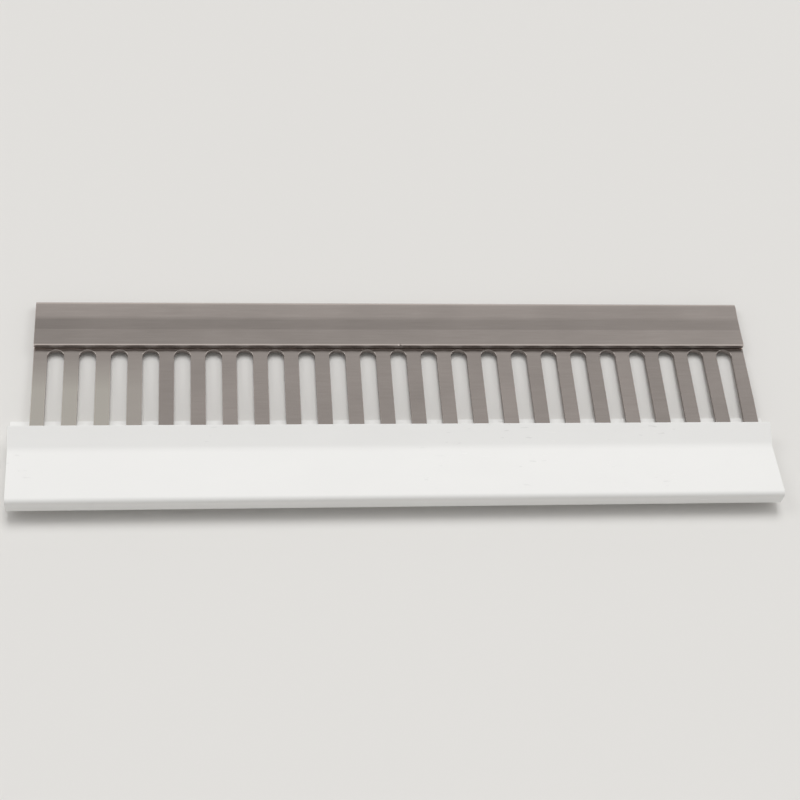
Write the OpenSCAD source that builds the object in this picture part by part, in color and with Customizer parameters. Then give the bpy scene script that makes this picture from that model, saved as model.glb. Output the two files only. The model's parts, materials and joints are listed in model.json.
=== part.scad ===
// Transfer comb for a knitting machine: a comb cut and folded from one steel
// sheet, with a slip-on plastic guard over the prong tips. Millimetres, +Z up,
// X along the comb, -Y towards the tips. The comb lies as it does on a table:
// on the back of its hem and on the long lower lip of the guard.

/* [Prongs] */
// Number of prongs
prong_count = 24; // [2:1:30]
// Distance from one prong to the next, the needle pitch of the machine
prong_pitch = 5; // [4:0.1:9]
// Width of a prong
prong_w = 2.35; // [1.9:0.05:3]
// Amount that the two ends of the comb are cut back from a whole prong width
end_cut = 0.2; // [0:0.05:0.3]
// Length of a prong, from the root of the slots to the tip
prong_l = 28; // [22:0.5:40]
// Width of the narrow end of a prong
tip_w = 1.7; // [1.4:0.05:1.9]
// Length over which a prong narrows to its tip
taper_l = 7; // [3:0.5:12]
// Diameter of the eyelet in each tip
eyelet_d = 1; // [0.6:0.05:1.1]

/* [Sheet and hem] */
// Thickness of the steel sheet
sheet_t = 0.8; // [0.5:0.05:1.2]
// Depth of the folded hem, from its back to its free edge
hem_depth = 8.9; // [6:0.1:14]
// Distance from the hem's free edge to the roots of the slots
root_setback = 0.3; // [0.1:0.1:4]
// Height of the open loop inside the fold
fold_gap = 0.2; // [0.15:0.05:0.6]
// Gap under the middle of the hem, where the press closed it
hem_gap = 0.06; // [0.04:0.01:0.12]
// Gap under the free edge of the hem, which springs back a little
edge_gap = 0.14; // [0.05:0.01:0.3]
// Distance from the back of the hem to its first crease
crease_back = 3.4; // [2.5:0.1:4]
// Width of the flat that the press left between the two creases
crease_flat = 2.2; // [0.5:0.1:3]
// Width of the break on the free edge of the hem
edge_break = 0.2; // [0.05:0.01:0.3]

/* [Tip guard] */
// Length of the guard along the comb
guard_l = 121.1; // [60:0.1:160]
// Distance of the guard's middle from the comb's middle, to the left
guard_shift = 1.05; // [0:0.05:3]
// Wall of the guard
guard_wall = 0.65; // [0.4:0.05:1]
// Depth of the guard's upper side, from its front face to its upper lip
upper_depth = 13.4; // [12:0.1:15]
// Depth of the guard's lower side, from its front face to its lower lip
lower_depth = 16.2; // [14:0.1:22]
// Distance from the front face to the line where the guard pinches the prongs
pinch_depth = 9.7; // [8:0.1:10.5]
// Rise of the upper side from the pinch to the front
front_rise = 1; // [0.3:0.05:2]
// Rise of the upper lip above the pinch
upper_flare = 1.4; // [0.5:0.05:2]
// Drop of the lower lip below the pinch
lower_flare = 0.45; // [0.2:0.05:1.5]
// Inner radius of the guard's two front edges
front_inner_r = 0.05; // [0.02:0.01:0.3]
// Clearance between the guard and each face of the sheet at the pinch
grip_clear = 0.05; // [0.02:0.01:0.2]
// Gap between the prong tips and the guard's front wall
tip_gap = 0.3; // [0.1:0.05:2]

/* [Hidden] */

steel_colour = "#9c948d";
guard_colour = "#ebecea";

// Radius of the guard's centreline at the pinch, and of the hem's at a crease
pinch_r = 3;
crease_r = 4;
// Level stretch of the hem between its fold and the slope to the first crease
fold_run = 0.4;
// Straight pieces in each bend
fold_steps = 8;
bend_steps = 4;
// Overlap of solids that are joined
joint = 0.5;

slot_w = prong_pitch - prong_w;
comb_w = (prong_count - 1) * prong_pitch + prong_w - 2 * end_cut;
root_y = -(hem_depth + root_setback);
tip_y = root_y - prong_l;
crease_y = -crease_back;
flat_end_y = crease_y - crease_flat;

// Heights of the guard's centreline, above the underside of the sheet
wall_in = grip_clear + guard_wall / 2;
low_z = -wall_in;
low_lip_z = low_z - lower_flare;
pinch_z = sheet_t + wall_in;
front_z = pinch_z + front_rise;
lip_z = pinch_z + upper_flare;

// Places of the guard's parts along Y
front_y = tip_y - tip_gap - guard_wall;
pinch_y = front_y + pinch_depth;
upper_lip_y = front_y + upper_depth;
lower_lip_y = front_y + lower_depth;

// The comb rests on the round back of the fold and on the outer edge of the
// lower lip, so it leans back by the angle between the two.
fold_r = sheet_t + fold_gap / 2;
fold_y = -fold_r;
lip_dir = unit([lower_lip_y - pinch_y, low_lip_z - low_z]);
lip_foot = [lower_lip_y, low_lip_z] + guard_wall / 2 * [lip_dir.y, -lip_dir.x];
rest_span = [fold_y, fold_r] - lip_foot;
lean = atan2(rest_span.y, rest_span.x) - asin(fold_r / norm(rest_span));

// Reach of the leaning comb along Y, which centres it over the origin
front_r = front_inner_r + guard_wall;
foot_bend = [front_y + front_r, low_z - guard_wall / 2 + front_r];
back_reach = lean_y([fold_y, fold_r]) + fold_r;
front_reach = lean_y(foot_bend) - front_r;

function unit(v) = v / norm(v);
function left_of(d) = [-d.y, d.x];
function turned(d, a) = [d.x * cos(a) - d.y * sin(a), d.x * sin(a) + d.y * cos(a)];
function lean_y(p) = (p.x - fold_y) * cos(lean) + (p.y - fold_r) * sin(lean);

// Stations of the bend at b between a and c: each is a point and its left normal
function bend(a, b, c, r, steps) =
    let (u = unit(b - a), v = unit(c - b), turn = atan2(cross(u, v), u * v))
    let (start = b - u * r * abs(tan(turn / 2)), side = sign(turn) * r)
    let (middle = start + side * left_of(u))
    [for (i = [0:steps]) let (d = turned(u, turn * i / steps)) [middle - side * left_of(d), left_of(d)]];

function path_end(p, d) = [[p, left_of(d)]];

// Stations of a half turn to the left that starts along +Y
function half_turn(middle, r, steps) =
    [for (i = [0:steps]) let (d = turned([1, 0], 180 * i / steps)) [middle - r * left_of(d), left_of(d)]];

// A strip of even thickness along stations
module strip(stations, t) {
    left = [for (s = stations) s[0] + s[1] * t / 2];
    right = [for (s = stations) s[0] - s[1] * t / 2];
    polygon(concat(left, [for (i = [len(right) - 1:-1:0]) right[i]]));
}

// Draws a section given in Y and Z along X, centred
module along_x(length) {
    rotate([90, 0, 90]) linear_extrude(length, center = true) children();
}

module at_each(count) {
    for (i = [0:count - 1]) translate([(i - (count - 1) / 2) * prong_pitch, 0]) children();
}

// One prong from the line of the slot centres to its tip, pointing along -Y
module prong_outline() {
    neck_y = tip_y + taper_l;
    end_y = tip_y + tip_w / 2;
    start_y = root_y - slot_w / 2;
    difference() {
        union() {
            translate([-prong_w / 2, neck_y]) square([prong_w, start_y - neck_y]);
            polygon([[-prong_w / 2, neck_y], [prong_w / 2, neck_y], [tip_w / 2, end_y], [-tip_w / 2, end_y]]);
            translate([0, end_y]) circle(d = tip_w, $fn = 48);
        }
        translate([0, end_y]) circle(d = eyelet_d, $fn = 48);
    }
}

// The flat blank in front of the hem: the web with its round slot roots, and the prongs
module blank_outline() {
    web_y = root_y - slot_w / 2;
    intersection() {
        union() {
            difference() {
                translate([-comb_w / 2, web_y]) square([comb_w, -hem_depth + joint - web_y]);
                at_each(prong_count - 1) translate([0, web_y]) circle(d = slot_w, $fn = 64);
            }
            at_each(prong_count) prong_outline();
        }
        translate([-comb_w / 2, tip_y - joint]) square([comb_w, joint - tip_y]);
    }
}

// The hem: the sheet runs back, turns over in an open loop and is pressed down
module hem_section() {
    low = sheet_t / 2;
    loop = sheet_t + fold_gap + low;
    pressed = sheet_t + hem_gap + low;
    lifted = sheet_t + edge_gap + low;
    start = [-hem_depth, low];
    fold_top = [fold_y, loop];
    fold_end = [fold_y - fold_run, loop];
    crease_a = [crease_y, pressed];
    crease_b = [flat_end_y, pressed];
    free_end = [-hem_depth, lifted];
    difference() {
        strip(concat(
            path_end(start, [1, 0]),
            half_turn([fold_y, fold_r], fold_r - low, 2 * fold_steps),
            bend(fold_top, fold_end, crease_a, crease_r, bend_steps),
            bend(fold_end, crease_a, crease_b, crease_r, bend_steps),
            bend(crease_a, crease_b, free_end, crease_r, bend_steps),
            path_end(free_end, unit(free_end - crease_b))
        ), sheet_t);
        translate([-hem_depth, lifted + low]) rotate(45) square(edge_break * sqrt(2), center = true);
    }
}

// The guard: lower lip, lower wall, front wall, upper wall, pinch and upper lip
module guard_section() {
    bend_r = front_inner_r + guard_wall / 2;
    low_lip = [lower_lip_y, low_lip_z];
    low_pinch = [pinch_y, low_z];
    front_x = front_y + guard_wall / 2;
    front_low = [front_x, low_z];
    front_high = [front_x, front_z];
    pinch = [pinch_y, pinch_z];
    lip = [upper_lip_y, lip_z];
    strip(concat(
        path_end(low_lip, unit(low_pinch - low_lip)),
        bend(low_lip, low_pinch, front_low, pinch_r, bend_steps),
        bend(low_pinch, front_low, front_high, bend_r, fold_steps),
        bend(front_low, front_high, pinch, bend_r, fold_steps),
        bend(front_high, pinch, lip, pinch_r, fold_steps),
        path_end(lip, unit(lip - pinch))
    ), guard_wall);
}

// Leans the comb back on its two rests and centres it over the origin
module at_rest() {
    translate([0, -(back_reach + front_reach) / 2, fold_r])
        rotate([-lean, 0, 0])
            translate([0, -fold_y, -fold_r])
                children();
}

module comb() {
    color(steel_colour)
        at_rest() translate([guard_shift, 0, 0]) {
            linear_extrude(sheet_t) blank_outline();
            along_x(comb_w) hem_section();
        }
}

module tip_guard() {
    color(guard_colour)
        at_rest() along_x(guard_l) guard_section();
}

comb();
tip_guard();
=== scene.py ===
"""A transfer comb for a knitting machine: one folded steel sheet and its plastic tip guard."""

import json
import math

import bmesh
import bpy
from bpy.props import FloatProperty, FloatVectorProperty, IntProperty, PointerProperty
from mathutils import Matrix, Quaternion, Vector


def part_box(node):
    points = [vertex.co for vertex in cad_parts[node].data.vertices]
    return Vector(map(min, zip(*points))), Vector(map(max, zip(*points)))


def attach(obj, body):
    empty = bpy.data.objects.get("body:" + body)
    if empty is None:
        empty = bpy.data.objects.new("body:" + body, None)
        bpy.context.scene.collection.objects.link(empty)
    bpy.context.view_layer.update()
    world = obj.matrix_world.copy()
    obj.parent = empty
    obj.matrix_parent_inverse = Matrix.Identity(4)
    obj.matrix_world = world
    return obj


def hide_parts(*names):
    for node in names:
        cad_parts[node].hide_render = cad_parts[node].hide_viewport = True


bl_info = {
    "name": "Transfer comb",
    "version": (1, 0, 0),
    "blender": (4, 5, 0),
    "location": "View3D > Sidebar > Transfer Comb",
    "description": "Builds a folded steel transfer comb, its slip-on tip guard and a plain stage",
    "category": "Add Mesh",
}

MM = 0.001
# Points closer than this are one
JOIN = 0.002 * MM
# Edges that turn more than this are rounded
SHARP = math.radians(40)
# Strip in front of the comb's back that holds the hem and the slot roots
HEM_STRIP = 12 * MM

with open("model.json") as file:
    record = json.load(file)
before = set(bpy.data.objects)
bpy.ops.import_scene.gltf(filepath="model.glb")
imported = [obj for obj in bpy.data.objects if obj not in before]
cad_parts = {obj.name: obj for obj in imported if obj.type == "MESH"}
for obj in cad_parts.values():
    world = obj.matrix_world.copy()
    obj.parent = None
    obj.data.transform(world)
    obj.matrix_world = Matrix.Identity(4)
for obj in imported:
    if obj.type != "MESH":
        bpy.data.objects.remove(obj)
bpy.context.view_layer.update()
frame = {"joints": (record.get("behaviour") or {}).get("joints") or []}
COMB_LOW, COMB_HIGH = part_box("comb")
GUARD_LOW, GUARD_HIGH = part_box("tip_guard")
SLIDE_AXIS = Vector(frame["joints"][0]["axis"])


def length(name, about, value):
    """A size property, given in millimetres and kept in metres."""
    size = value * MM
    return FloatProperty(name=name, description=about, default=size, min=0, unit="LENGTH", precision=5)


def colour(name, about, value):
    """A colour property: red, green and blue from 0 to 1."""
    return FloatVectorProperty(
        name=name, description=about, default=value, size=3, min=0, max=1, subtype="COLOR")


def level(name, about, value, high=1.0):
    """A property for a roughness, a brightness or a strength."""
    return FloatProperty(name=name, description=about, default=value, min=0, max=high)


def angle(name, about, degrees):
    """An angle property, given in degrees and kept in radians."""
    return FloatProperty(name=name, description=about, default=math.radians(degrees), subtype="ANGLE")


class CombSettings(bpy.types.PropertyGroup):
    """Sizes and finish of the steel sheet"""

    prong_count: IntProperty(name="Prongs", description="Number of prongs", default=24, min=2)
    prong_pitch: length("Prong pitch", "Distance from one prong to the next", 5)
    prong_width: length("Prong width", "Width of a prong", 2.35)
    prong_length: length("Prong length", "From the root of the slots to the tip", 28)
    tip_width: length("Tip width", "Width of the narrow end of a prong", 1.7)
    taper_length: length("Taper length", "Length over which a prong narrows", 7)
    eyelet_diameter: length("Eyelet diameter", "Hole in each tip", 1)
    sheet: length("Sheet thickness", "Thickness of the steel", 0.8)
    hem_depth: length("Hem depth", "From the back of the fold to its free edge", 8.9)
    root_setback: length("Root setback", "From the hem's free edge to the slots", 0.3)
    fold_gap: length("Fold gap", "Height of the open loop inside the fold", 0.2)
    fold_run: length("Fold run", "Level stretch between the fold and the first slope", 0.4)
    hem_gap: length("Hem gap", "Gap under the pressed flat of the hem", 0.06)
    edge_gap: length("Edge gap", "Gap under the free edge of the hem", 0.14)
    crease_back: length("Crease back", "From the back of the hem to its first crease", 3.4)
    crease_flat: length("Crease flat", "Width of the pressed flat", 2.2)
    crease_radius: length("Crease radius", "Radius of a crease", 4)
    edge_break: length("Edge break", "Rounding of the cut edges", 0.08)
    nick_place: length("Nick place", "From the left end of the comb to the nick in the hem", 58.6)
    nick_depth: length("Nick depth", "Depth of the nick", 0.25)
    last_prong_lean: angle("Last prong lean", "How far the right-hand prong is bent to the left", 1.15)
    steel: colour("Steel", "Colour of the steel", (0.532, 0.482, 0.455))
    # Painted reflection: the first prongs at the left are made paler with this colour
    painted_pale_reflection: colour("Pale steel", "Colour of the first prongs at the left", (0.775, 0.74, 0.68))
    roughness: level("Roughness", "Roughness of the steel", 0.2)
    # Darker than the steel, partly a real sheared finish and partly painted shade
    cut_steel: colour("Cut steel", "Colour of the sheared edges", (0.29, 0.257, 0.243))
    cut_roughness: level("Cut roughness", "Roughness of the sheared edges", 0.5)


class GuardSettings(bpy.types.PropertyGroup):
    """Sizes and finish of the tip guard"""

    wall: length("Wall", "Wall of the guard", 0.65)
    upper_depth: length("Upper depth", "From the front face to the upper lip", 13.4)
    lower_depth: length("Lower depth", "From the front face to the lower lip", 16.2)
    pinch_depth: length("Pinch depth", "From the front face to the pinch line", 9.7)
    front_rise: length("Front rise", "Rise of the upper side towards the front", 1)
    upper_flare: length("Upper flare", "Rise of the upper lip above the pinch", 1.4)
    lower_flare: length("Lower flare", "Drop of the lower lip below the pinch", 0.45)
    front_radius: length("Front radius", "Inner radius of the front edges", 0.05)
    pinch_radius: length("Pinch radius", "Radius of the bend at the pinch", 3)
    grip: length("Grip clearance", "Clearance between the guard and the sheet", 0.05)
    tip_gap: length("Tip gap", "From the tips to the front wall", 0.3)
    edge_break: length("Edge break", "Rounding of the lips and the sawn ends", 0.1)
    saw_skew: angle("Saw skew", "How far the left end is out of square", 1.2)
    plastic: colour("Plastic", "Colour of the plastic", (0.898, 0.896, 0.883))
    roughness: level("Roughness", "Roughness of the plastic", 0.24)
    sawn_roughness: level("Sawn roughness", "Roughness of the sawn ends and lips", 0.55)


class StageSettings(bpy.types.PropertyGroup):
    """Floor, light and camera"""

    floor: colour("Floor", "Colour of the floor", (0.8, 0.79, 0.77))
    sky: colour("Sky", "Colour of the surroundings", (1, 0.985, 0.965))
    sky_low: level("Low sky", "Brightness of the surroundings at the horizon", 0.85)
    sky_high: level("High sky", "Brightness of the surroundings overhead", 0.5)
    sky_fill: level("Sky fill", "Share of the surroundings' light that reaches dull surfaces", 0.65)
    back_light: level("Back light", "Strength of the light from above the back", 1.34, high=5)
    side_light: level("Side light", "Strength of each light from a side", 0.38, high=5)
    light_spread: angle("Light spread", "Width of each light as the comb sees it", 26)
    camera_azimuth: angle("Camera azimuth", "Turn of the camera round the comb", -13.898)
    camera_elevation: angle("Camera elevation", "Height of the camera above the table", 58.909)
    camera_roll: angle("Camera roll", "Turn of the camera about its own axis", 11.769)
    camera_distance: length("Camera distance", "From the camera to the point it looks at", 266.26)
    camera_aim: FloatVectorProperty(
        name="Camera aim", description="Point on the table that the camera looks at",
        default=(0.957 * MM, 1.119 * MM, 0), size=3, subtype="TRANSLATION")
    camera_lens: FloatProperty(
        name="Camera lens", description="Focal length in mm", default=74.056, unit="CAMERA")


def fold_radius(comb):
    """Outer radius of the fold."""
    return comb.sheet + comb.fold_gap / 2


def root_line(comb):
    """Where the roots of the slots lie, from the back of the flat comb."""
    return -(comb.hem_depth + comb.root_setback)


def at_rest(comb):
    """Leans the flat comb back on its two rests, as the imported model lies."""
    lean = math.asin(SLIDE_AXIS.z)
    fold_r = fold_radius(comb)
    return (
        Matrix.Translation((0, COMB_HIGH.y - fold_r, fold_r))
        @ Matrix.Rotation(-lean, 4, "X")
        @ Matrix.Translation((0, fold_r, -fold_r))
    )


def verts_of(geom):
    return [g for g in geom if isinstance(g, bmesh.types.BMVert)]


def edges_of(geom):
    return [g for g in geom if isinstance(g, bmesh.types.BMEdge)]


def faces_of(geom):
    return [g for g in geom if isinstance(g, bmesh.types.BMFace)]


def all_of(bm):
    return bm.verts[:] + bm.edges[:] + bm.faces[:]


def once(parts):
    """The parts without repeats, in an order that is the same in each run."""
    return list(dict.fromkeys(parts))


def line_to(bm, vert, place):
    """Draws a straight line from vert to place."""
    new = bmesh.ops.extrude_vert_indiv(bm, verts=[vert])["verts"][0]
    new.co = place
    return new


def arc_to(bm, vert, centre, turn, steps):
    """Draws an arc from vert about a centre, in the plane of the sheet."""
    made = bmesh.ops.spin(bm, geom=[vert], cent=centre, axis=(0, 0, 1), angle=turn, steps=steps)
    return verts_of(made["geom_last"])[0]


def run(bm, edges, move):
    """Carries a row of edges straight on and returns the new row."""
    made = bmesh.ops.extrude_edge_only(bm, edges=edges)["geom"]
    verts = verts_of(made)
    bmesh.ops.translate(bm, verts=verts, vec=move)
    fresh = set(verts)
    return [e for e in edges_of(made) if fresh.issuperset(e.verts)]


def fold(bm, edges, centre, turn, steps):
    """Folds a row of edges about an axis along X and returns the new row."""
    verts = once(v for e in edges for v in e.verts)
    made = bmesh.ops.spin(bm, geom=verts + edges, cent=centre, axis=(1, 0, 0), angle=turn, steps=steps)
    return edges_of(made["geom_last"])


def follow(bm, edges, corners, radii, steps):
    """Carries a row of edges along a section of corners in Y and Z, each rounded to its radius."""
    here = corners[0]
    for before, corner, after, radius in zip(corners, corners[1:], corners[2:], radii):
        u = (corner - before).normalized()
        v = (after - corner).normalized()
        turn = math.atan2(u.cross(v), u.dot(v))
        setback = radius * abs(math.tan(turn / 2))
        start = corner - u * setback
        edges = run(bm, edges, (0, *(start - here)))
        centre = start + math.copysign(radius, turn) * Vector((-u.y, u.x))
        edges = fold(bm, edges, (0, *centre), turn, steps)
        here = corner + v * setback
    return run(bm, edges, (0, *(corners[-1] - here)))


def put_in_order(bm):
    """Sorts edges and faces by their points, whose order is the same in each run."""
    bm.verts.index_update()
    count = len(bm.verts)

    def place(part):
        # Its three lowest points; 0 stands for the third of an edge
        first, second, third = (sorted(v.index for v in part.verts) + [0])[:3]
        return (first * count + second) * count + third

    bm.edges.sort(key=place)
    bm.faces.sort(key=place)


def thicken(bm, wall):
    """Turns a middle surface into a sheet of even thickness, as a new bmesh.

    Its cut edges get the second material of the piece.
    """
    put_in_order(bm)
    bmesh.ops.remove_doubles(bm, verts=bm.verts, dist=JOIN)
    bmesh.ops.recalc_face_normals(bm, faces=bm.faces)
    mesh = bpy.data.meshes.new("middle")
    bm.to_mesh(mesh)
    bm.free()
    # Two slots, so that the cut edges can take the second
    for _ in range(2):
        mesh.materials.append(None)
    holder = bpy.data.objects.new("middle", mesh)
    bpy.context.scene.collection.objects.link(holder)
    solid = holder.modifiers.new("thickness", "SOLIDIFY")
    solid.thickness = wall
    solid.offset = 0
    solid.use_even_offset = True
    solid.material_offset_rim = 1
    out = bmesh.new()
    out.from_object(holder, bpy.context.evaluated_depsgraph_get())
    bpy.data.objects.remove(holder)
    bpy.data.meshes.remove(mesh)
    return out


def mark_edges(bm):
    """Marks the sharp edges, which are then rounded."""
    layer = bm.edges.layers.float.new("bevel_weight_edge")
    for edge in bm.edges:
        if len(edge.link_faces) == 2 and edge.calc_face_angle() > SHARP:
            edge[layer] = 1.0


def finish_piece(bm, name, place, bevel, materials, node, body):
    """Makes the piece that stands for a node.

    Its two materials are for the faces and for the cut edges.
    """
    bmesh.ops.transform(bm, matrix=place, verts=bm.verts)
    for face in bm.faces:
        face.smooth = True
    mesh = bpy.data.meshes.new(name)
    bm.to_mesh(mesh)
    bm.free()
    piece = bpy.data.objects.new(name, mesh)
    bpy.context.scene.collection.objects.link(piece)
    rounding = piece.modifiers.new("rounding", "BEVEL")
    rounding.width = bevel
    rounding.segments = 3
    rounding.limit_method = "WEIGHT"
    rounding.harden_normals = True
    rounding.material = 0
    for material in materials:
        mesh.materials.append(material)
    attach(piece, body)
    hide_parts(node)


class Nodes:
    """A short way to add and join the shader nodes of a material or of the surroundings."""

    def __init__(self, owner, shader="Principled BSDF"):
        owner.use_nodes = True
        self.owner = owner
        self.tree = owner.node_tree
        self.shader = self.tree.nodes[shader]

    def add(self, kind, inputs=(), **settings):
        """A new node; each input is a number, a colour or the output that feeds it."""
        node = self.tree.nodes.new(kind)
        for key, value in settings.items():
            setattr(node, key, value)
        for key, value in dict(inputs).items():
            if isinstance(value, bpy.types.NodeSocket):
                self.tree.links.new(value, node.inputs[key])
            else:
                node.inputs[key].default_value = value
        return node

    def place(self, scale):
        """Object coordinates stretched by scale."""
        coordinates = self.add("ShaderNodeTexCoord").outputs["Object"]
        return self.add("ShaderNodeMapping", {"Vector": coordinates, "Scale": scale}).outputs["Vector"]

    def noise(self, scale, detail=4.0, roughness=0.55):
        """Fractal noise; scale is in waves to the metre along X, Y and Z."""
        vector = self.place(scale)
        inputs = {"Vector": vector, "Scale": 1.0, "Detail": detail, "Roughness": roughness}
        return self.add("ShaderNodeTexNoise", inputs).outputs["Fac"]

    def maths(self, operation, a, b=0.0):
        return self.add("ShaderNodeMath", {0: a, 1: b}, operation=operation).outputs[0]

    def mapped(self, value, low, high, to_low, to_high, kind="LINEAR"):
        """Carries the range from low to high over to another, and stops at its ends."""
        inputs = {"Value": value, "From Min": low, "From Max": high, "To Min": to_low, "To Max": to_high}
        return self.add("ShaderNodeMapRange", inputs, interpolation_type=kind).outputs["Result"]

    def mix(self, factor, a, b, blend="MIX"):
        """Mixes two colours; inputs 0, 6 and 7 are the factor and the colours."""
        node = self.add("ShaderNodeMix", data_type="RGBA", blend_type=blend)
        for socket, value in ((node.inputs[0], factor), (node.inputs[6], a), (node.inputs[7], b)):
            if isinstance(value, bpy.types.NodeSocket):
                self.tree.links.new(value, socket)
            elif isinstance(value, Vector):
                socket.default_value = (*value, 1)
            else:
                socket.default_value = value
        return node.outputs[2]

    def ramp(self, value, stops):
        """A colour ramp; each stop is a place from 0 to 1 and a grey level."""
        node = self.add("ShaderNodeValToRGB", {"Fac": value})
        marks = node.color_ramp.elements
        for _ in stops[2:]:
            marks.new(0.5)
        for mark, (spot, grey) in zip(marks, stops):
            mark.position = spot
            mark.color = (grey, grey, grey, 1)
        return node.outputs["Color"]

    def profile(self, value, stops):
        """A broken line; each stop is a place from 0 to 1 and a level, which may be over 1."""
        peak = max(height for _, height in stops)
        line = self.ramp(value, [(spot, height / peak) for spot, height in stops])
        return self.maths("MULTIPLY", line, peak)

    def join(self, value, socket):
        """Feeds an input of the shader."""
        self.tree.links.new(value, self.shader.inputs[socket])

    def bump(self, height, strength, depth):
        """Raises the surface where height is bright."""
        inputs = {"Height": height, "Strength": strength, "Distance": depth}
        self.join(self.add("ShaderNodeBump", inputs).outputs["Normal"], "Normal")


def steel_material(comb):
    """Satin stainless steel with its grain along the comb.

    Painted reflections make the hem's three bands lighter and darker, a painted highlight lies on its
    free edge, painted shade lies at its foot and along its back, the first four prongs are painted paler,
    and the prongs differ a little from one another.
    """
    n = Nodes(bpy.data.materials.new("satin_steel"))
    base = Vector(comb.steel)
    broad = n.noise((90, 160, 160), detail=3)
    grain = n.noise((150, 3500, 3500), detail=4, roughness=0.6)
    spot = n.add("ShaderNodeSeparateXYZ", {"Vector": n.place((1, 1, 1))})
    back = COMB_HIGH.y
    across = n.mapped(spot.outputs["Y"], back - HEM_STRIP, back, 0, 1)
    along = n.mapped(spot.outputs["X"], COMB_LOW.x, COMB_HIGH.x, 0, 1)

    def painted_light_bands(shade, front, flat, rear):
        """Levels across the hem strip, from its front.

        They are the plate, a painted shade on the plate at the hem's foot, a painted highlight on its
        free edge, three bands made lighter and darker by painted reflection, and a painted shade at its
        back.
        """
        return n.profile(across, [
            (0.0, 1.0), (0.18, 1.0),
            # Painted shade on the plate at the hem's foot, then a painted highlight on the free edge
            (0.21, shade), (0.257, shade),
            (0.259, 1.6), (0.278, 1.6),
            # Three bands of painted reflection, then painted shade at the back
            (0.286, front), (0.52, front),
            (0.54, flat), (0.685, flat),
            (0.75, rear), (0.97, rear),
            (1.0, 0.8),
        ])

    # Number of the nearest prong, from 0 at the left, and a level of its own
    first_x = (COMB_LOW.x + COMB_HIGH.x - (comb.prong_count - 1) * comb.prong_pitch) / 2
    from_first = n.maths("SUBTRACT", spot.outputs["X"], first_x)
    number = n.maths("ROUND", n.maths("DIVIDE", from_first, comb.prong_pitch))
    own = n.add("ShaderNodeTexWhiteNoise", {"W": number}, noise_dimensions="1D").outputs["Value"]
    on_prongs = n.mapped(across, 0.24, 0.18, 0, 1)
    tint = n.mix(n.mapped(broad, 0.35, 0.65, 0, 1), base * 0.97, base * 1.03)
    fine = n.ramp(n.mapped(grain, 0.3, 0.7, 0, 1), [(0, 0.45), (1, 0.55)])
    tint = n.mix(0.4, tint, fine, "OVERLAY")
    # Painted reflections and shade: the band levels and the shade at the hem's foot change from the left
    # end to the right
    left_painted_bands, right_painted_bands = painted_light_bands(0.85, 0.91, 0.81, 1.14), painted_light_bands(0.55, 1.09, 0.94, 1.07)
    tint = n.mix(1.0, tint, n.mix(along, left_painted_bands, right_painted_bands), "MULTIPLY")
    own_tint = n.mix(1.0, tint, n.profile(own, [(0, 0.96), (1, 1.06)]), "MULTIPLY")
    tint = n.mix(on_prongs, tint, own_tint)
    # The first four prongs are painted paler in front of their roots, as a painted reflection
    towards_tips = n.mapped(spot.outputs["Y"], back - 10.5 * MM, back - 17 * MM, 0.05, 1)
    painted_reflection = n.maths("MULTIPLY", towards_tips, n.mapped(number, 4, 2, 0, 1))
    tint = n.mix(n.maths("MULTIPLY", on_prongs, painted_reflection), tint, Vector(comb.painted_pale_reflection))
    n.join(tint, "Base Color")
    n.join(n.mapped(broad, 0.3, 0.7, comb.roughness - 0.03, comb.roughness + 0.04), "Roughness")
    n.bump(grain, 0.06, 0.02 * MM)
    n.shader.inputs["Metallic"].default_value = 1.0
    return n.owner


def cut_steel_material(comb):
    """The sheared edges of the sheet: darker, partly as a real sheared finish and partly as painted
    shade, rougher, and streaked across the thickness.
    """
    n = Nodes(bpy.data.materials.new("sheared_steel"))
    base = Vector(comb.cut_steel)
    streaks = n.noise((4000, 4000, 300), detail=4)
    n.join(n.mix(n.mapped(streaks, 0.3, 0.7, 0, 1), base * 0.8, base * 1.2), "Base Color")
    n.join(n.mapped(streaks, 0.3, 0.7, comb.cut_roughness - 0.08, comb.cut_roughness + 0.08), "Roughness")
    n.bump(streaks, 0.3, 0.02 * MM)
    n.shader.inputs["Metallic"].default_value = 1.0
    return n.owner


def plastic_material(guard):
    """White extruded plastic, glossy, with faint scuffs and draw lines."""
    n = Nodes(bpy.data.materials.new("white_plastic"))
    base = Vector(guard.plastic)
    cloud = n.noise((60, 120, 120), detail=3)
    lines = n.noise((25, 3500, 3500), detail=3)
    marks = n.noise((500, 2600, 2600), detail=2, roughness=0.4)
    where = n.noise((70, 90, 90), detail=1)
    scuffs = n.maths("MULTIPLY", n.mapped(marks, 0.66, 0.72, 0, 1), n.mapped(where, 0.58, 0.66, 0, 1))
    tint = n.mix(n.mapped(cloud, 0.35, 0.65, 0, 1), base * 0.99, base * 1.005)
    tint = n.mix(n.maths("MULTIPLY", scuffs, 0.3), tint, base * 0.55)
    n.join(tint, "Base Color")
    rough = n.mapped(cloud, 0.3, 0.7, guard.roughness - 0.02, guard.roughness + 0.03)
    n.join(n.maths("ADD", rough, n.maths("MULTIPLY", scuffs, 0.3)), "Roughness")
    n.bump(lines, 0.08, 0.02 * MM)
    n.shader.inputs["IOR"].default_value = 1.5
    return n.owner


def sawn_plastic_material(guard):
    """The guard's cut edges: matt, with fine saw marks."""
    n = Nodes(bpy.data.materials.new("sawn_plastic"))
    base = Vector(guard.plastic)
    saw = n.noise((300, 600, 9000), detail=4)
    n.join(n.mix(n.mapped(saw, 0.3, 0.7, 0, 1), base * 0.98, base * 1.06), "Base Color")
    n.bump(saw, 0.3, 0.03 * MM)
    n.shader.inputs["Roughness"].default_value = guard.sawn_roughness
    n.shader.inputs["IOR"].default_value = 1.5
    return n.owner


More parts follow.
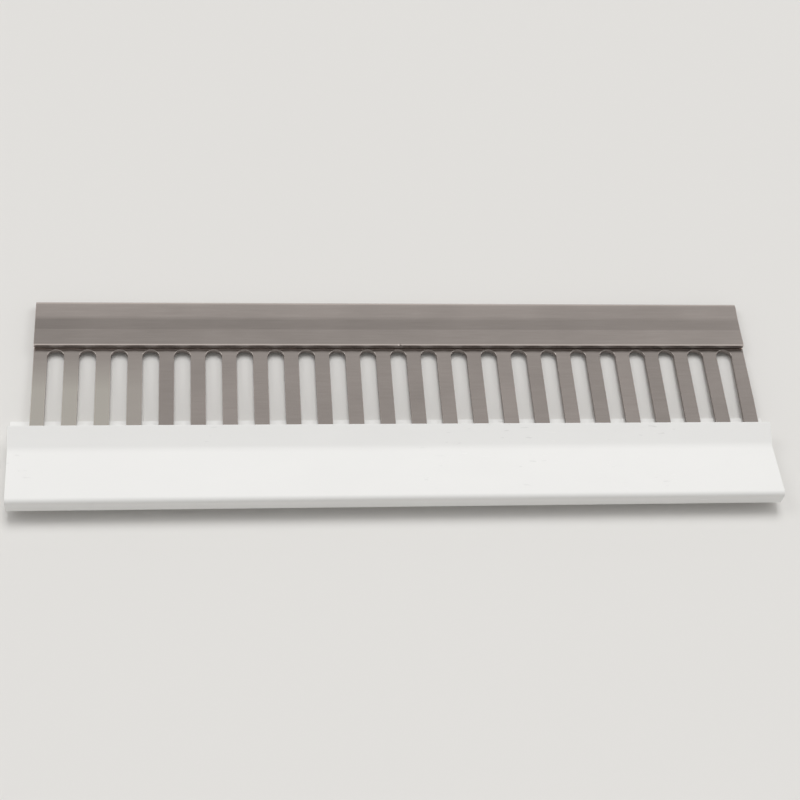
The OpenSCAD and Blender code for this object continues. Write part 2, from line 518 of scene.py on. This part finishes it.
def half_prong(bm, comb, back_y, steps):
    """Half a prong with half a slot beside it, as one flat face."""
    low = comb.sheet / 2
    root_y = root_line(comb)
    tip_y = root_y - comb.prong_length
    half_pitch = comb.prong_pitch / 2
    slot_r = half_pitch - comb.prong_width / 2
    tip_r = comb.tip_width / 2
    eye_r = comb.eyelet_diameter / 2
    eye_y = tip_y + tip_r
    slot_top = Vector((half_pitch, root_y, low))
    vert = bmesh.ops.create_vert(bm, co=slot_top)["vert"][0]
    first = vert
    vert = arc_to(bm, vert, (half_pitch, root_y - slot_r, low), math.pi / 2, steps)
    vert = line_to(bm, vert, (comb.prong_width / 2, tip_y + comb.taper_length, low))
    vert = line_to(bm, vert, (tip_r, eye_y, low))
    vert = arc_to(bm, vert, (0, eye_y, low), -math.pi / 2, steps)
    vert = line_to(bm, vert, (0, eye_y - eye_r, low))
    vert = arc_to(bm, vert, (0, eye_y, low), math.pi, steps)
    vert = line_to(bm, vert, (0, back_y, low))
    vert = line_to(bm, vert, (half_pitch, back_y, low))
    bmesh.ops.contextual_create(bm, geom=[vert, first])
    bmesh.ops.contextual_create(bm, geom=bm.edges[:])


def prong_row(comb, back_y, steps):
    """The flat blank: one half prong mirrored, repeated along X and joined."""
    bm = bmesh.new()
    half_prong(bm, comb, back_y, steps)
    bmesh.ops.mirror(bm, geom=all_of(bm), axis="X", merge_dist=JOIN)
    cell = all_of(bm)
    first = (1 - comb.prong_count) / 2 * comb.prong_pitch
    for number in range(1, comb.prong_count):
        copy = bmesh.ops.duplicate(bm, geom=cell)["geom"]
        bmesh.ops.translate(bm, verts=verts_of(copy), vec=(number * comb.prong_pitch, 0, 0))
    bmesh.ops.translate(bm, verts=bm.verts, vec=(first, 0, 0))
    bmesh.ops.remove_doubles(bm, verts=bm.verts, dist=JOIN)
    return bm


def lean_last_prong(bm, comb):
    """Bends the right-hand prong a little to the left, from its root."""
    root_y = root_line(comb)
    last = (comb.prong_count - 1) / 2 * comb.prong_pitch
    turned = [v for v in bm.verts if v.co.y < root_y and v.co.x > last - comb.prong_pitch / 2]
    for vert in turned:
        vert.co.x -= math.tan(comb.last_prong_lean) * (root_y - vert.co.y)


def nick_hem(bm, comb, x, top):
    """Nicks the hem's free upper edge: a burr pressed down at x and a notch to the right of it.

    Steps and moves are in depths of the nick.
    """
    deep = comb.nick_depth
    corner = Vector((x, -comb.hem_depth, top))

    def on_edge(vert):
        return (vert.co - corner).yz.length < deep / 4

    faces = [f for f in bm.faces if any(on_edge(v) for v in f.verts)]
    faces = [f for f in faces if abs(f.calc_center_median().x - x) < comb.prong_pitch]
    # Cuts all round the nick keep it from pulling at the rest of the hem
    cuts = [((step, 0, 0), (1, 0, 0)) for step in (-1.5, -1, 0, 1, 2, 2.5)]
    cuts += [((0, step, 0), (0, 1, 0)) for step in (1.5, 2)]
    for steps, across in cuts:
        parts = once(part for face in faces for part in (face, *face.edges, *face.verts))
        spot = corner + Vector(steps) * deep
        made = bmesh.ops.bisect_plane(bm, geom=parts, plane_co=spot, plane_no=across)["geom"]
        faces = faces_of(made)
    for step, move in ((0, Vector((0, -0.1, -0.35))), (1, Vector((0, 1, -0.2)))):
        for vert in once(v for face in faces for v in face.verts):
            if on_edge(vert) and abs(vert.co.x - x - step * deep) < deep / 4:
                vert.co += move * deep


class TRANSFERCOMB_OT_comb(bpy.types.Operator):
    """Makes the steel comb: cuts the blank, then folds and presses its hem"""

    bl_idname = "transfer_comb.comb"
    bl_label = "Steel comb"

    def execute(self, context):
        comb = context.scene.comb_settings
        low = comb.sheet / 2
        fold_r = fold_radius(comb)
        middle_x = (COMB_LOW.x + COMB_HIGH.x) / 2
        ends_x = COMB_HIGH.x - middle_x
        loop = comb.sheet + comb.fold_gap + low
        pressed = comb.sheet + comb.hem_gap + low
        lifted = comb.sheet + comb.edge_gap + low
        back_y = -fold_r
        bm = prong_row(comb, back_y, steps=16)
        lean_last_prong(bm, comb)
        back = [e for e in bm.edges if all(abs(v.co.y - back_y) < JOIN for v in e.verts)]
        top = fold(bm, back, (0, back_y, fold_r), math.pi, steps=20)
        corners = [
            Vector((back_y, loop)),
            Vector((back_y - comb.fold_run, loop)),
            Vector((-comb.crease_back, pressed)),
            Vector((-comb.crease_back - comb.crease_flat, pressed)),
            Vector((-comb.hem_depth, lifted)),
        ]
        follow(bm, top, corners, [comb.crease_radius] * 3, steps=4)
        for side in (-1, 1):
            plane = {"plane_co": (side * ends_x, 0, 0), "plane_no": (side, 0, 0)}
            bmesh.ops.bisect_plane(bm, geom=all_of(bm), clear_outer=True, **plane)
        bm = thicken(bm, comb.sheet)
        nick_hem(bm, comb, comb.nick_place - ends_x, lifted + low)
        mark_edges(bm)
        place = at_rest(comb) @ Matrix.Translation((middle_x, 0, 0))
        materials = (steel_material(comb), cut_steel_material(comb))
        finish_piece(bm, "steel_comb", place, comb.edge_break, materials, "comb", "comb")
        return {"FINISHED"}


class TRANSFERCOMB_OT_guard(bpy.types.Operator):
    """Makes the tip guard: draws its section along X and saws its ends"""

    bl_idname = "transfer_comb.guard"
    bl_label = "Tip guard"

    def execute(self, context):
        comb, guard = context.scene.comb_settings, context.scene.guard_settings
        tip_y = root_line(comb) - comb.prong_length
        front_y = tip_y - guard.tip_gap - guard.wall
        middle_y = front_y + guard.wall / 2
        pinch_y = front_y + guard.pinch_depth
        low_z = -(guard.grip + guard.wall / 2)
        pinch_z = comb.sheet - low_z
        front_z = pinch_z + guard.front_rise
        corners = [
            Vector((front_y + guard.lower_depth, low_z - guard.lower_flare)),
            Vector((pinch_y, low_z)),
            Vector((middle_y, low_z)),
            Vector((middle_y, front_z)),
            Vector((pinch_y, pinch_z)),
            Vector((front_y + guard.upper_depth, pinch_z + guard.upper_flare)),
        ]
        bend_r = guard.front_radius + guard.wall / 2
        radii = [guard.pinch_radius, bend_r, bend_r, guard.pinch_radius]
        bm = bmesh.new()
        ends = (GUARD_LOW.x, GUARD_HIGH.x)
        # The channel is drawn with some to spare, then sawn
        spare = 1 * MM
        start = bmesh.ops.create_vert(bm, co=(ends[0] - spare, *corners[0]))["vert"][0]
        line_to(bm, start, (ends[1] + spare, *corners[0]))
        follow(bm, bm.edges[:], corners, radii, steps=8)
        # The left end is square behind the upper lip's edge, and skewed in front of it
        cuts = (
            (ends[0], (-1, 0, 0)),
            (ends[0], (-math.cos(guard.saw_skew), -math.sin(guard.saw_skew), 0)),
            (ends[1], (1, 0, 0)),
        )
        for end, outward in cuts:
            plane = {"plane_co": (end, front_y + guard.upper_depth, 0), "plane_no": outward}
            bmesh.ops.bisect_plane(bm, geom=all_of(bm), clear_outer=True, **plane)
        bm = thicken(bm, guard.wall)
        mark_edges(bm)
        materials = (plastic_material(guard), sawn_plastic_material(guard))
        finish_piece(
            bm, "white_guard", at_rest(comb), guard.edge_break, materials, "tip_guard", "guard")
        return {"FINISHED"}


def make_floor(stage):
    """A wide pale sheet that the comb lies on."""
    bm = bmesh.new()
    bmesh.ops.create_grid(bm, x_segments=1, y_segments=1, size=3)
    mesh = bpy.data.meshes.new("floor")
    bm.to_mesh(mesh)
    bm.free()
    floor = bpy.data.objects.new("floor", mesh)
    bpy.context.scene.collection.objects.link(floor)
    n = Nodes(bpy.data.materials.new("pale_floor"))
    base = Vector(stage.floor)
    cloud = n.noise((9, 9, 9), detail=2)
    n.join(n.mix(cloud, base * 0.99, base * 1.01), "Base Color")
    n.shader.inputs["Roughness"].default_value = 0.85
    mesh.materials.append(n.owner)


def make_sky(stage):
    """Plain surroundings, pale at the horizon and softer overhead, and whole only in mirrored light."""
    n = Nodes(bpy.data.worlds.new("studio"), "Background")
    bpy.context.scene.world = n.owner
    coordinates = n.add("ShaderNodeTexCoord").outputs["Generated"]
    up = n.add("ShaderNodeSeparateXYZ", {"Vector": coordinates}).outputs["Z"]
    brightness = n.mapped(up, 0.05, 0.8, stage.sky_low, stage.sky_high, "SMOOTHSTEP")
    rays = n.add("ShaderNodeLightPath").outputs
    seen = n.maths("MAXIMUM", rays["Is Camera Ray"], rays["Is Glossy Ray"])
    fill = n.mapped(seen, 0, 1, stage.sky_fill, 1)
    n.join(n.maths("MULTIPLY", brightness, fill), "Strength")
    n.shader.inputs["Color"].default_value = (*stage.sky, 1)


def make_light(name, place, spread, strength, mirrored):
    """An even, soft light from the direction of place, which leaves no glare unless mirrored."""
    data = bpy.data.lights.new(name, "SUN")
    data.angle = spread
    data.energy = strength
    light = bpy.data.objects.new(name, data)
    light.visible_glossy = mirrored
    light.rotation_mode = "QUATERNION"
    light.rotation_quaternion = (-Vector(place)).to_track_quat("-Z", "Y")
    bpy.context.scene.collection.objects.link(light)


def make_camera(stage):
    """The camera of the reference view."""
    azimuth, elevation = stage.camera_azimuth, stage.camera_elevation
    back = Vector((
        math.sin(azimuth) * math.cos(elevation),
        -math.cos(azimuth) * math.cos(elevation),
        math.sin(elevation),
    ))
    data = bpy.data.cameras.new("camera")
    data.lens = stage.camera_lens
    data.clip_start = 10 * MM
    camera = bpy.data.objects.new("camera", data)
    camera.location = Vector(stage.camera_aim) + back * stage.camera_distance
    camera.rotation_mode = "QUATERNION"
    upright = (-back).to_track_quat("-Z", "Y")
    camera.rotation_quaternion = upright @ Quaternion((0, 0, 1), stage.camera_roll)
    bpy.context.scene.collection.objects.link(camera)
    bpy.context.scene.camera = camera


class TRANSFERCOMB_OT_stage(bpy.types.Operator):
    """Makes the floor, the surroundings, the three lights and the camera"""

    bl_idname = "transfer_comb.stage"
    bl_label = "Stage"

    def execute(self, context):
        stage = context.scene.stage_settings
        make_floor(stage)
        make_sky(stage)
        spread = stage.light_spread
        make_light("left_light", (-0.6, 0.22, 0.77), spread, stage.side_light, mirrored=True)
        make_light("right_light", (0.6, 0.22, 0.77), spread, stage.side_light, mirrored=True)
        make_light("back_light", (0, 0.42, 0.91), spread, stage.back_light, mirrored=False)
        make_camera(stage)
        context.scene.view_settings.view_transform = "Standard"
        return {"FINISHED"}


OPERATORS = (TRANSFERCOMB_OT_comb, TRANSFERCOMB_OT_guard, TRANSFERCOMB_OT_stage)


class TRANSFERCOMB_PT_panel(bpy.types.Panel):
    """Lists the operators and their settings"""

    bl_label = "Transfer comb"
    bl_space_type = "VIEW_3D"
    bl_region_type = "UI"
    bl_category = "Transfer Comb"

    def draw(self, context):
        scene = context.scene
        groups = (scene.comb_settings, scene.guard_settings, scene.stage_settings)
        for operator, settings in zip(OPERATORS, groups):
            box = self.layout.box()
            box.operator(operator.bl_idname)
            for name in settings.bl_rna.properties.keys():
                if name not in ("rna_type", "name"):
                    box.prop(settings, name)


CLASSES = (CombSettings, GuardSettings, StageSettings, *OPERATORS, TRANSFERCOMB_PT_panel)


def register():
    for cls in CLASSES:
        bpy.utils.register_class(cls)
    bpy.types.Scene.comb_settings = PointerProperty(type=CombSettings)
    bpy.types.Scene.guard_settings = PointerProperty(type=GuardSettings)
    bpy.types.Scene.stage_settings = PointerProperty(type=StageSettings)


def unregister():
    del bpy.types.Scene.comb_settings
    del bpy.types.Scene.guard_settings
    del bpy.types.Scene.stage_settings
    for cls in reversed(CLASSES):
        bpy.utils.unregister_class(cls)


def main():
    register()
    bpy.ops.transfer_comb.comb()
    bpy.ops.transfer_comb.guard()
    bpy.ops.transfer_comb.stage()


if __name__ == "__main__":
    main()
